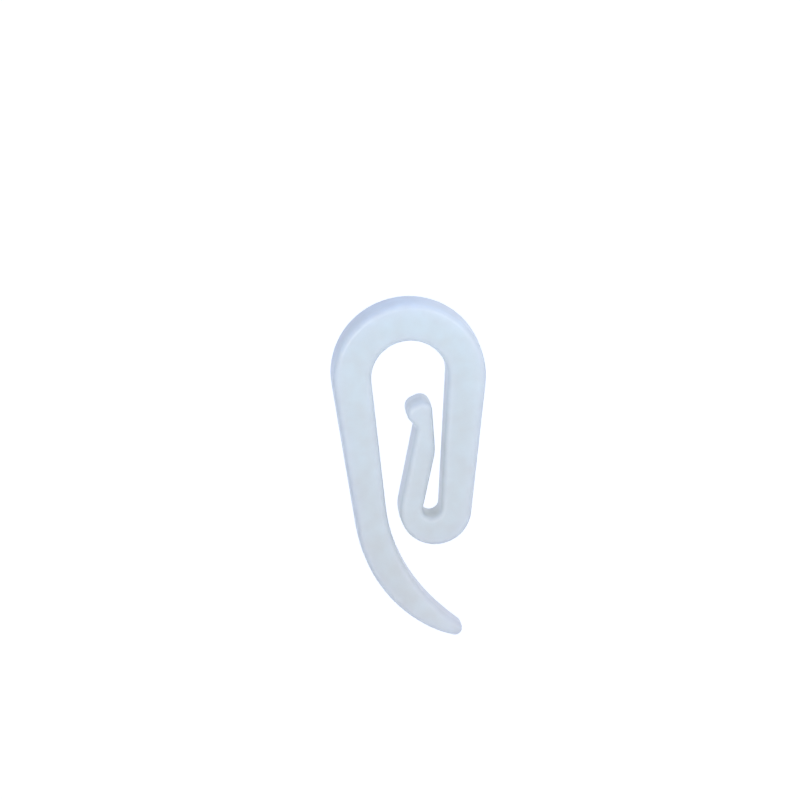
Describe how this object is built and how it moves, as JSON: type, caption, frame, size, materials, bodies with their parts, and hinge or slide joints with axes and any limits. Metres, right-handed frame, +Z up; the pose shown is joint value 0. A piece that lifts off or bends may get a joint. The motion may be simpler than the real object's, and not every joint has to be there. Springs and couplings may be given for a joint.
{
  "type": "curtain hook",
  "caption": "One-piece moulded plastic curtain hook: an arched eye shut by a sprung tongue with a knob, and a curved tapering tail that slides into heading tape.",
  "frame": {"origin": "middle of the eye, half way through the thickness", "axes": "+X to the right as the hook hangs with its tail curving right, +Y through the eye away from the viewer, +Z up"},
  "size_m": [0.0124, 0.003, 0.0281],
  "materials": {
    "milky_plastic": "milky, slightly bluish translucent white, semi-gloss as moulded"
  },
  "bodies": {
    "root": {"curtain_hook": "milky_plastic"}
  },
  "joints": []
}
